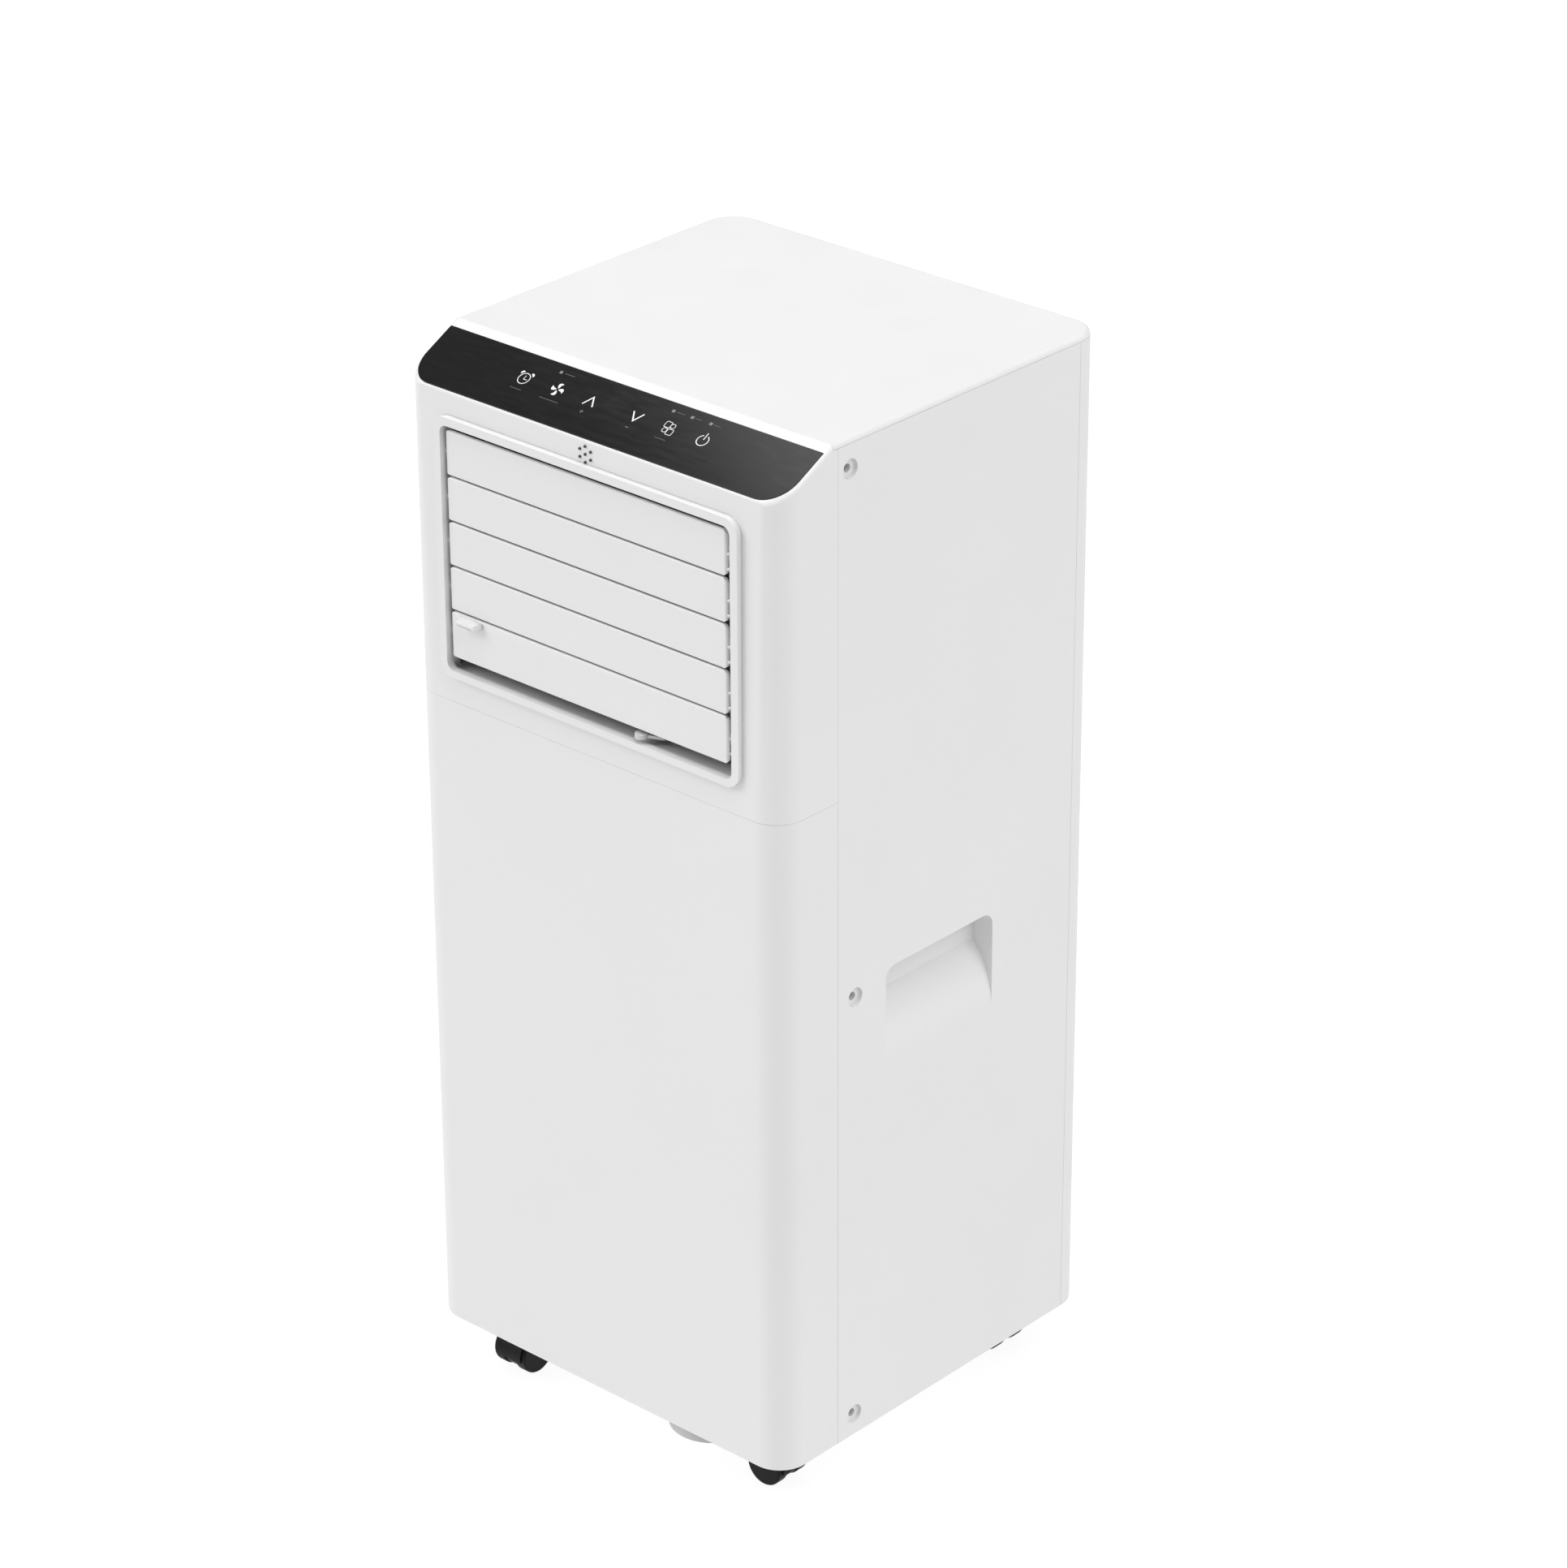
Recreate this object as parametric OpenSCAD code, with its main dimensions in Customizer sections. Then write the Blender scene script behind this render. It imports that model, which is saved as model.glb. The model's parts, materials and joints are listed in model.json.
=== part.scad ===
// Portable air conditioner: a narrow upright cabinet on four twin-wheel casters.
// The front faces -Y, the floor is z = 0 and the cabinet is centred on the Z axis.

/* [Cabinet] */
// Width of the cabinet
case_w = 285; // [275:1:300]
// Depth of the cabinet, without the louvre rim and the rear grilles
case_d = 275; // [270:1:290]
// Height of the cabinet above its lower edge
case_h = 634; // [634:1:640]
// Gap between the floor and the cabinet's lower edge
floor_gap = 33; // [33:1:36]
// Corner radius of the front, seen from above
front_r = 19; // [16:1:22]
// Corner radius of the rear, seen from above
rear_r = 20; // [18:1:22]
// Thickness of the moulded panels
wall = 2.5; // [2:0.1:3]
// Width of the joint line between two panels
seam = 0.15; // [0.1:0.05:0.4]

/* [Louvre] */
// Half width of the louvre opening
open_x = 110; // [105:1:112]
// Height of the louvre opening's lower edge
open_z0 = 474; // [472:1:476]
// Height of the louvre opening's upper edge
open_z1 = 625.2; // [624:0.2:626]
// Distance between two louvres
louver_pitch = 27.6; // [27.4:0.1:27.8]
// Distance that the louvre rim stands out of the front
rim_proud = 3; // [2:0.5:4]
// Angle of the vanes at rest, from straight ahead towards the left
vane_rest = 35; // [20:1:38]

/* [Casters] */
// Radius of a caster wheel
wheel_r = 12.7; // [12:0.1:13]
// Distance from the swivel axis to the wheel's axle
trail = 12; // [10:0.5:13]

/* [Blowers] */
// Radius of the two blower wheels
blower_r = 68; // [60:1:70]

/* [Hidden] */
$fn = 48;

white = "whitesmoke";
side_x = case_w / 2;
front_y = -case_d / 2;
rear_y = case_d / 2;
case_z0 = floor_gap;
case_z1 = floor_gap + case_h;
top_t = 3;                       // thickness of the top cover's edge
panel_z1 = case_z1 - top_t - seam;
seam_y = -89;                    // joint between the front shells and the side panels
rear_seam_y = 116.4;             // joint between the side panels and the rear panel
split_z = 452.6;                 // joint between the two front shells

// slanted control face
slant_y1 = -93;
slant_angle = 27.4;
slant_z0 = case_z1 - (slant_y1 - front_y) * tan(slant_angle);
lens_t = 2.2;
lens_inset = 1.9;
lens_y1 = -98.8;

// screws in the sides: [y, z]
side_screws = [[-79.2, 649], [-74.3, 324.3], [-74.3, 46.6]];
cup_r = 6;
cup_depth = 2.4;
tab_x = 128.5;
tab_t = 2.5;
rear_screw_x = 120;
rear_screw_z = [48, 294, 430, 650];

// handle recess
handle_y0 = -48;
handle_y1 = 46;
handle_z0 = 271;
handle_z1 = 332;
handle_depth = 15;
handle_ramp_z = 309;
handle_ramp_r = ((handle_ramp_z - handle_z0) * (handle_ramp_z - handle_z0) + handle_depth * handle_depth)
    / (2 * handle_depth);

// louvres and vanes
rim_w = 5.3;
louver_axis_y = front_y + 3.3;
louver_face = 4;                 // distance from the louvre's face to its axis
louver_face_y = louver_axis_y - louver_face;
louver_back = -1.6;              // back of the louvre's plate, from its axis
louver_h = louver_pitch - 1.1;
louver_x0 = 2.1 - open_x;        // left end of every louvre
louver_x1 = open_x - 4.6;        // right end
louver_end_r = 1.6;              // rounding of the ends, seen from above
louver_corner = 3.4;             // corner radius of the louvre's face
nub_r = 0.9;                     // spacer nubs on the right end
louver_top_axis = open_z1 - 17.6;
tab_reach = 6;                   // distance that the finger tab stands out of its louvre
finger_x = -99;                  // left side of the finger tab
finger_w = 16.4;                 // its width
pin_r = 1.8;
fit = 0.05;                      // radial clearance of every running pin
crank = 9;
crank_angle = -40;
crank_y = crank * cos(crank_angle);
crank_z = crank * sin(crank_angle);
link_pin_r = 1.5;
vane_axis_y = -104;
vane_pitch = 31;
vane_z0 = 483;
vane_z1 = 622;
vane_link_r = 14;
lever_r = 40;                    // distance from a vane's axis to the knob
lever_bend = [7, -29];           // bend of the lever, in the vane's own frame
knob_r = 3.9;
frame_y1 = -84;
duct_floor = open_z0 - 1.5;
frame_side = 8;
pocket_x = 5;

// rear openings
intake_z = [452, 640];
lower_z = [58, 272];
window_x = 105;
hinge = [rear_y + 1.7, 453];     // axis of the intake grille, y and z
hinge_pin_r = 1.1;
knuckle_x = window_x + 2.9;
knuckle_w = 3.1;
knuckle_r = 2.2;
exhaust_z = 361;
exhaust_r = 67;
socket_y = tab_reach - louver_face_y;
drain = [-70, 44];               // centre of the drain, x and z
drain_r = 5.5;
gland = [118, 90];
cord_r = 3.6;

// blowers
upper_fan_z = 546;
lower_fan_z = 172;
scroll_y0 = 40;
scroll_y1 = 92;
shaft_r = 4;
blower_depth = 40;
blade_angle = 28;
motor_r = 38;
coil_x = 104;                    // outermost fin of a coil
coil_y = [96, 124];              // front and back of a coil
fin_pitch = 8;
row_pitch = 25;
tube_r = 3.5;
volute_r0 = 72;
volute_r1 = 88;
tongue_x = 43.6;                 // left side of the channel that leads up from a blower
mouth_x = [48, 86];              // mouth of that channel
duct_mouth_z = [594, 622];
scroll_top = 630;
drip_z0 = 436;
splash = [98, 66];               // centre of the splash wheel, x and z
splash_r = 20;
splash_shaft_r = 2;

// compressor and the accumulator beside it
comp = [-62, -60];
comp_r = 50;
comp_z0 = 60;
comp_z1 = 262;
acc = [12, -78];
acc_r = 22;
acc_z = [100, 216];

// pipe routes
pipe_y = 110;
coil_end = coil_x + 5;
hot_x = 117;
hot_z = 304;
cold_x = -119;
cold_z = 617;
cross_z = 350;
liquid_x = 130;
liquid_z = [74, 467];

feet_angles = [90, 210, 330];
feet_points = [for (a = feet_angles) comp + 58 * [cos(a), sin(a)]];

// electric box: lowest and highest corner, and the back of its board
ebox = [[36, -128, 200], [124, -86, 400]];
board_y = -97;

// casters: name order front left, front right, rear left, rear right
caster_x = 93;
caster_y = 100;
stem_r = 4;
pan_z0 = 34.5;
pan_t = 2.5;
sump = [60.3, -107];             // centre of the water sump under the pan
sump_r = 26.9;
sump_z = 24;
pan_rim = 9;                     // height of the pan's inner rim
axle_r = 2;
body_half = 4.6;                 // half width of a caster's body between its wheels
tread = 8;                       // width of a wheel
wheel_gap = 0.4;
wheel_edge = 1.5;                // rounding of a wheel's outer edge
hood_half = 10.3;                // half width of the hood over both wheels
hood_r = wheel_r + 1.4;
hood_z = wheel_r - 2;            // lower edge of the hood
swing_r = 23.6;                  // clears the hood's top in any direction
swing_z = wheel_r + hood_r + 0.6;

function arc(c, r, a0, a1, n = 10) = [for (i = [0:n]) let (a = a0 + (a1 - a0) * i / n)
    [c[0] + r * cos(a), c[1] + r * sin(a)]];

// outline of the cabinet seen from above, moved in by i
function plan_points(i = 0) = let (x = side_x - front_r, u = side_x - rear_r) concat(
    arc([-x, front_y + front_r], front_r - i, 180, 270, 12),
    arc([x, front_y + front_r], front_r - i, 270, 360, 12),
    arc([u, rear_y - rear_r], rear_r - i, 0, 90, 12),
    arc([-u, rear_y - rear_r], rear_r - i, 90, 180, 12));

function round_rect(w, h, r, n = 6) = concat(arc([w / 2 - r, h / 2 - r], r, 0, 90, n),
    arc([r - w / 2, h / 2 - r], r, 90, 180, n), arc([r - w / 2, r - h / 2], r, 180, 270, n),
    arc([w / 2 - r, r - h / 2], r, 270, 360, n));

module both_sides() {
    children();
    mirror([1, 0, 0]) children();
}

// a box given by its lowest and highest corners
module box(a, b) {
    translate(a) cube([b[0] - a[0], b[1] - a[1], b[2] - a[2]]);
}

// a ring of the cabinet's wall between two heights and two depths
module casing_ring(z0, z1, y0, y1) {
    intersection() {
        difference() {
            translate([0, 0, z0]) linear_extrude(z1 - z0) polygon(plan_points());
            translate([0, 0, z0 - 1]) linear_extrude(z1 - z0 + 2) polygon(plan_points(wall));
        }
        box([-side_x - 1, y0, z0 - 1], [side_x + 1, y1, z1 + 1]);
    }
}

// a plate in the XZ plane, its outline centred at x, z, from y0 to y1
module front_plate(points, x, z, y0, y1) {
    translate([x, y1, z]) rotate([90, 0, 0]) linear_extrude(y1 - y0) polygon(points);
}

module rod_x(x0, x1, y, z, r) {
    translate([x0, y, z]) rotate([0, 90, 0]) cylinder(h = x1 - x0, r = r);
}

module rod_y(y0, y1, x, z, r) {
    translate([x, y0, z]) rotate([-90, 0, 0]) cylinder(h = y1 - y0, r = r);
}

module rod_z(x, y, z0, z1, r) {
    translate([x, y, z0]) cylinder(h = z1 - z0, r = r);
}

// the slanted face's own frame: Y runs up its slope and Z is its normal
module slant_frame() {
    translate([0, front_y, slant_z0]) rotate([slant_angle, 0, 0]) children();
}

// rounded block that breaks the edges of the slanted face
module slant_cap(r) {
    hull() {
        for (a = [0:15:90]) slant_slice(r * (1 - sin(a)), r * (1 - cos(a)));
        translate([0, 0, split_z]) linear_extrude(1) polygon(plan_points());
    }
}

module slant_slice(inset, depth) {
    intersection() {
        linear_extrude(2 * case_z1) polygon(plan_points(inset));
        slant_frame() translate([-200, inset, -depth - 0.02]) cube([400, 60, 0.02]);
    }
}

/* ---------- casing ---------- */

// edge of the top cover: a bar with a rounded upper edge, drawn from the edge inwards
edge_profile = concat([[0, 0]], arc([rear_r - top_t, 0], top_t, 0, 90, 6), [[0, top_t]]);

module top_cover() {
    x = side_x - rear_r;
    y = rear_y - rear_r;
    lip = 5;
    color(white) translate([0, 0, case_z1 - top_t]) {
        box([-x, slant_y1, 0], [x, y, top_t]);
        both_sides() translate([x, y, 0]) rotate([90, 0, 0]) linear_extrude(y - slant_y1) polygon(edge_profile);
        translate([-x, y, 0]) rotate([90, 0, 90]) linear_extrude(2 * x) polygon(edge_profile);
        both_sides() translate([x, y, 0]) rotate_extrude(angle = 90) polygon(edge_profile);
        // lip that drops inside the panels
        difference() {
            box([-side_x + 6, slant_y1 + 12, -lip], [side_x - 6, rear_y - 8, 0]);
            box([-side_x + 8, slant_y1 + 14, -lip - 1], [side_x - 8, rear_y - 10, -1.5]);
            both_sides() box([side_x - 20, rear_y - 22, -lip - 1], [side_x, rear_y, 1]);
        }
    }
}

module screw_tabs(z_list) {
    both_sides() for (s = z_list) difference() {
        union() {
            box([tab_x, -96, s[1] - 9], [tab_x + tab_t, s[0] + 7, s[1] + 9]);
            box([tab_x, -99, s[1] - 9], [side_x - wall + 0.5, -95, s[1] + 9]);
        }
        rod_x(tab_x - 1, tab_x + tab_t + 1, s[0], s[1], 1.7);
    }
}

module front_upper_shell() {
    rim_z = (open_z0 + open_z1) / 2 + 0.3;
    color(white) {
        difference() {
            intersection() {
                translate([0, 0, split_z + seam / 2])
                    linear_extrude(case_z1 - split_z - seam / 2) polygon(plan_points());
                slant_cap(3);
                box([-side_x, front_y, split_z], [side_x, seam_y - seam / 2, case_z1]);
            }
            // inside of the shell
            difference() {
                translate([0, 0, split_z - 1]) linear_extrude(case_z1 - split_z) polygon(plan_points(wall));
                slant_frame() translate([-200, -20, -2 * wall]) cube([400, 400, 400]);
            }
            // seat of the black panel, with a window for the display board
            lens_body(0.15, lens_t, 20);
            // rebate under the top cover
            box([-side_x - 1, slant_y1 - seam / 2, panel_z1], [side_x + 1, 0, case_z1 + 1]);
            slant_frame() translate([-side_x + 16, 8, -2 * wall - 10]) cube([case_w - 32, 28, 40]);
            // front opening for the louvre rim
            front_plate(round_rect(2 * (open_x + rim_w) + 0.4, open_z1 - open_z0 + 10, 10), 0, rim_z,
                front_y - 1, front_y + 10);
            sound_holes();
        }
        screw_tabs([side_screws[0]]);
    }
}

module sound_holes() {
    rod_y(front_y - 1, front_y + wall + 1, 0, 636.1, 0.8);
    for (a = [30:60:330]) rod_y(front_y - 1, front_y + wall + 1, 4.7 * cos(a), 636.1 + 4.7 * sin(a), 0.8);
}

module front_lower_shell() {
    color(white) {
        casing_ring(case_z0, split_z - seam / 2, front_y - 1, seam_y - seam / 2);
        screw_tabs([side_screws[1], side_screws[2]]);
        // stiffening ribs
        for (x = [-90, -30, 30, 90]) box([x - 1, front_y + wall - 0.5, 60], [x + 1, front_y + wall + 4, 440]);
        box([-100, front_y + wall - 0.5, 440], [100, front_y + wall + 6, 442]);
    }
}

module handle_cut(grow, out) {
    c = [side_x - handle_ramp_r, handle_z0];
    r = handle_ramp_r - grow;
    top = handle_z1 + grow;
    ramp = arc(c, r, 0, asin((handle_ramp_z - handle_z0) / r), 10);
    points = concat([[side_x + out, top], [side_x + out, handle_z0]], ramp,
        [[side_x - handle_depth - grow, handle_ramp_z], [side_x - handle_depth - grow, top]]);
    intersection() {
        translate([0, handle_y1 + grow, 0]) rotate([90, 0, 0])
            linear_extrude(handle_y1 - handle_y0 + 2 * grow) polygon(points);
        translate([100, (handle_y0 + handle_y1) / 2, 0]) rotate([90, 0, 90]) linear_extrude(60)
            translate([0, handle_z1 - 50 + grow]) polygon(round_rect(handle_y1 - handle_y0 + 2 * grow, 100, 8));
    }
}

module side_panel() {
    difference() {
        union() {
            box([side_x - wall, seam_y + seam / 2, case_z0], [side_x, rear_seam_y - seam / 2, panel_z1]);
            handle_cut(wall, -0.01);
            for (s = side_screws) {
                rod_x(side_x - cup_depth - 2, side_x - 0.5, s[0], s[1], cup_r + 1.8);
                rod_x(tab_x + tab_t, side_x - 3, s[0], s[1], 4.4);
            }
            // rear flange that takes the rear screws
            for (z = rear_screw_z) {
                box([132, 108, z - 8], [side_x - wall + 0.5, 110.5, z + 8]);
                box([132, 108, z - 8], [134.3, 126.5, z + 8]);
                box([114, 124, z - 8], [134.3, 126.5, z + 8]);
            }
        }
        handle_cut(0, 1);
        for (s = side_screws) {
            rod_x(side_x - cup_depth, side_x + 1, s[0], s[1], cup_r);
            rod_x(tab_x + tab_t + 2, side_x, s[0], s[1], 2.6);
            rod_x(tab_x, side_x, s[0], s[1], 1.7);
        }
        for (z = rear_screw_z) rod_y(120, 130, rear_screw_x, z, 1.7);
    }
}

module side_panel_right() {
    color(white) side_panel();
}

module side_panel_left() {
    color(white) mirror([1, 0, 0]) side_panel();
}

module rear_panel() {
    color(white) difference() {
        union() {
            casing_ring(case_z0, panel_z1, rear_seam_y + seam / 2, rear_y + 1);
            both_sides() for (z = rear_screw_z) rod_y(126.7, rear_y - 0.5, rear_screw_x, z, 5);
            both_sides() knuckle();
        }
        box([-window_x, 120, intake_z[0]], [window_x, 150, intake_z[1]]);
        box([-window_x, 120, lower_z[0]], [window_x, 150, lower_z[1]]);
        rod_y(120, 150, 0, exhaust_z, exhaust_r + 4);
        rod_y(120, 150, drain[0], drain[1], 9.2);
        rod_y(120, 150, gland[0], gland[1], 7.2);
        both_sides() for (z = rear_screw_z) {
            rod_y(120, 150, rear_screw_x, z, 1.9);
            rod_y(rear_y - 2, 150, rear_screw_x, z, 3.8);
        }
        both_sides() rod_x(knuckle_x - 1, knuckle_x + knuckle_w + 1, hinge[0], hinge[1], hinge_pin_r + fit);
    }
}

// knuckle beside the intake grille's lower corner
module knuckle() {
    rod_x(knuckle_x, knuckle_x + knuckle_w, hinge[0], hinge[1], knuckle_r);
    box([knuckle_x, rear_y - 0.5, hinge[1] - knuckle_r],
        [knuckle_x + knuckle_w, hinge[0], hinge[1] + knuckle_r]);
}

module casing_screws() {
    color("dimgray") both_sides() {
        for (s = side_screws) {
            rod_x(tab_x - 4, tab_x + tab_t + 3, s[0], s[1], 1.6);
            rod_x(tab_x + tab_t + 2.02, tab_x + tab_t + 4, s[0], s[1], 2.5);
        }
        for (z = rear_screw_z) difference() {
            union() {
                rod_y(123, rear_y - 1, rear_screw_x, z, 1.6);
                rod_y(rear_y - 1.98, rear_y - 0.2, rear_screw_x, z, 3.6);
            }
            translate([rear_screw_x, rear_y, z]) cube([4.4, 1.6, 0.9], center = true);
            translate([rear_screw_x, rear_y, z]) cube([0.9, 1.6, 4.4], center = true);
        }
    }
}

module base_pan() {
    color("gainsboro") difference() {
        union() {
            translate([0, 0, pan_z0]) linear_extrude(pan_t) polygon(plan_points(wall + 0.5));
            difference() {
                translate([0, 0, pan_z0]) linear_extrude(pan_rim) polygon(plan_points(wall + 12.5));
                translate([0, 0, pan_z0 + pan_t]) linear_extrude(pan_rim) polygon(plan_points(wall + 14.5));
            }
            both_sides() box([side_x - wall - 2.5, -44, 31], [side_x - wall - 0.5, 60, pan_z0 + 1]);
            rod_z(sump[0], sump[1], sump_z, pan_z0 + 1, sump_r);
            for (x = [-caster_x, caster_x], y = [-caster_y, caster_y])
                rod_z(x, y, pan_z0, pan_z0 + 20, 8);
            // posts under the compressor's three feet
            for (p = feet_points) rod_z(p[0], p[1], pan_z0, pan_z0 + 8, 7);
            // drain boss through the rear panel
            rod_y(112, rear_y + 0.5, drain[0], drain[1], 8.8);
            // bracket of the splash motor
            box([splash[0] - 6, 66, pan_z0 + 1], [splash[0] + 6, 70, splash[1] - 8]);
        }
        // inside of the sump, which steps up over the front right caster
        difference() {
            rod_z(sump[0], sump[1], sump_z + 2, pan_z0 + pan_t + 1, sump_r - 2.4);
            rod_z(caster_x, -caster_y, sump_z, swing_z + 2, swing_r + 2);
        }
        rod_z(caster_x, -caster_y, sump_z - 1, swing_z, swing_r);
        for (x = [-caster_x, caster_x], y = [-caster_y, caster_y])
            rod_z(x, y, pan_z0 - 1, pan_z0 + 17, stem_r + fit);
        rod_y(105, 150, drain[0], drain[1], drain_r + fit);
        for (p = feet_points) rod_z(p[0], p[1], pan_z0 + 2, pan_z0 + 10, 1.7);
    }
}

// black panel in the slanted face; grow enlarges it, t is its thickness and up what it reaches above
module lens_body(grow, t, up) {
    intersection() {
        translate([0, 0, case_z1 - 60]) linear_extrude(120) polygon(plan_points(lens_inset - grow));
        slant_frame() translate([-200, -10, -t]) cube([400, 200, t + up]);
        box([-200, -200, 0], [200, lens_y1 + grow, 900]);
    }
}

module control_panel() {
    color("black") lens_body(0, lens_t, 0);
}

module display_board() {
    color("darkgreen") slant_frame() {
        translate([-100, 11, -9]) cube([200, 22, 1.6]);
        translate([-14, 15, -7.4]) cube([24, 13, 3.6]);
        for (x = [-46, 39, 53, 67]) translate([x - 2, 29, -7.4]) cube([4, 3, 2.2]);
        for (x = [-65, -40, -14, 21, 45, 69]) translate([x, 20, -7.4]) cylinder(h = 2, r = 4.5);
        for (x = [-96, 96]) translate([x - 2, 12, -7.4]) cube([4, 20, 2.2]);
    }
}

/* ---------- louvre ---------- */

module louver_frame() {
    zc = (open_z0 + open_z1) / 2;
    hh = open_z1 - open_z0;
    color(white) difference() {
        union() {
            // rim that stands out of the front
            front_plate(round_rect(2 * (open_x + rim_w), hh + 9.6, 9.5), 0, zc + 0.3,
                front_y - rim_proud, front_y + wall + 0.2);
            // box behind it
            box([-open_x - frame_side, front_y + wall + 0.1, duct_floor - 4],
                [open_x + frame_side, frame_y1, open_z1 + 4]);
        }
        // mouth: rounded opening, then the straight duct
        front_plate(round_rect(2 * open_x, hh, 5), 0, zc, front_y - 10, front_y + 5);
        box([-open_x + 0.2, front_y + 2, duct_floor], [open_x - 0.2, frame_y1 + 1, open_z1 - 0.2]);
        // pocket of the louvre link
        box([-open_x - pocket_x, louver_axis_y + 4, duct_floor + 1],
            [-open_x + 1, louver_axis_y + 13, open_z1 - 4]);
        for (i = [0:4]) rod_x(-open_x - frame_side + 1.5, open_x + frame_side - 1.5, louver_axis_y,
            louver_top_axis - i * louver_pitch, pin_r + fit);
        for (i = [-3:3]) rod_z(i * vane_pitch, vane_axis_y, duct_floor - 3, open_z1 + 3, 2 + fit);
    }
}

// outline of a louvre seen from its end, reaching up and down from its axis
function louver_section(up, down) = concat(arc([1 - louver_face, up - 1], 1, 180, 90, 4),
    arc([louver_back - 0.6, up - 0.6], 0.6, 90, 0, 3), arc([louver_back - 0.6, 0.6 - down], 0.6, 0, -90, 3),
    arc([1 - louver_face, 1 - down], 1, -90, -180, 4));

louver_plan = concat(arc([louver_x0 + louver_end_r, louver_end_r - louver_face], louver_end_r, 180, 270, 5),
    arc([louver_x1 - louver_end_r, louver_end_r - louver_face], louver_end_r, 270, 360, 5),
    [[louver_x1, 5], [louver_x0, 5]]);

// louvre i from the top; extra_up and extra_down lengthen its edges
module louver(i, extra_up = 0, extra_down = 0) {
    up = louver_h / 2 + extra_up;
    down = louver_h / 2 + extra_down;
    length = louver_x1 - louver_x0;
    bracket_y = louver_end_r - louver_face;
    color(white) translate([0, louver_axis_y, louver_top_axis - i * louver_pitch]) {
        intersection() {
            translate([louver_x0, 0, 0]) rotate([90, 0, 90]) linear_extrude(length)
                polygon(louver_section(up, down));
            front_plate(round_rect(length, up + down, louver_corner), (louver_x0 + louver_x1) / 2,
                (up - down) / 2, -10, 10);
            translate([0, 0, -down]) linear_extrude(up + down) polygon(louver_plan);
        }
        // end brackets and their pins
        box([louver_x0, bracket_y, -4], [louver_x0 + 2, 2.5, 4]);
        box([louver_x1 - 2, bracket_y, -4], [louver_x1, 2.5, 4]);
        rod_x(2.5 - open_x - frame_side, louver_x0 + 2, 0, 0, pin_r);
        rod_x(louver_x1 - 2, open_x + frame_side - 2.5, 0, 0, pin_r);
        for (z = [0, -9]) rod_x(louver_x1 - 1, louver_x1 + 1.4, bracket_y, z, nub_r);
        // crank arm and pin for the link, on the left
        translate([louver_x0, 0, 0]) rotate([90, 0, 90]) linear_extrude(1.6)
            polygon([[-1, 3], [2.5, 3], [crank_y + 2.2, crank_z + 1.5], [crank_y + 2.2, crank_z - 2.2],
                [crank_y - 2.2, crank_z - 2.2], [-1, -3]]);
        rod_x(0.6 - open_x - pocket_x, louver_x0 + 0.5, crank_y, crank_z, link_pin_r);
    }
}

module louver_1() { louver(0, extra_up = 0.9); }
module louver_2() { louver(1); }
module louver_3() { louver(2); }
module louver_4() { louver(3); }

// the lowest louvre carries the finger tab
module louver_5() {
    louver(4, extra_down = 2.2);
    color(white) translate([finger_x, louver_face_y, louver_top_axis - 4 * louver_pitch + louver_h / 2 - 4.4])
        linear_extrude(3) polygon(concat(arc([finger_w - 3.4, 3.4 - tab_reach], 3.4, 270, 360, 6),
            [[finger_w, 0.8], [0, 0.8]], arc([1.6, 1.6 - tab_reach], 1.6, 180, 270, 6)));
}

module louver_link() {
    x = -open_x - pocket_x + 0.8;
    y = louver_axis_y + crank_y;
    z = louver_top_axis + crank_z;
    color("gainsboro") difference() {
        box([x, y - 2.3, z - 4 * louver_pitch - 3.5], [x + 2.2, y + 2.3, z + 3.5]);
        for (i = [0:4]) rod_x(x - 1, x + 4, y, z - i * louver_pitch, link_pin_r + fit);
    }
}

// a vane in its own frame: upright axis at the origin, leading edge towards -Y
vane_section = concat(arc([0, -12.2], 0.8, 180, 360, 4), [[1, 0]], arc([0, 17.5], 0.5, 0, 180, 3), [[-1, 0]]);

module vane(i) {
    color("gainsboro") translate([(i - 4) * vane_pitch, vane_axis_y, 0]) rotate([0, 0, -vane_rest]) {
        translate([0, 0, vane_z0]) linear_extrude(vane_z1 - vane_z0) polygon(vane_section);
        translate([0, 0, duct_floor - 2.5]) cylinder(h = open_z1 - duct_floor + 5, r = 2);
        translate([0, vane_link_r, duct_floor + 2.6]) cylinder(h = vane_z0 - duct_floor, r = link_pin_r);
    }
}

module vane_1() { vane(1); }
module vane_2() { vane(2); }
module vane_3() { vane(3); }
module vane_4() { vane(4); }
module vane_5() { vane(5); }
module vane_7() { vane(7); }

// this vane carries the lever and knob below the louvres
module vane_6() {
    vane(6);
    color("gainsboro") translate([2 * vane_pitch, vane_axis_y, 0]) rotate([0, 0, -vane_rest]) {
        translate([0, 0, duct_floor + 4.8]) linear_extrude(1.8)
            polygon([[-3, 3], [3, 3], lever_bend + [1.2, 0], [1.2, -lever_r], [-1.2, -lever_r],
                lever_bend - [1.2, 0]]);
        rod_z(0, -lever_r, duct_floor + 4.4, duct_floor + 7, knob_r);
    }
}

module vane_link() {
    dx = vane_link_r * sin(vane_rest);
    y = vane_axis_y + vane_link_r * cos(vane_rest);
    color("gainsboro") difference() {
        box([-3 * vane_pitch + dx - 3.5, y - 3, duct_floor + 4],
            [3 * vane_pitch + dx + 3.5, y + 3, duct_floor + 6.5]);
        for (i = [-3:3]) translate([i * vane_pitch + dx, y, duct_floor]) cylinder(h = 20, r = link_pin_r + fit);
    }
}

/* ---------- air path ---------- */

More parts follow.
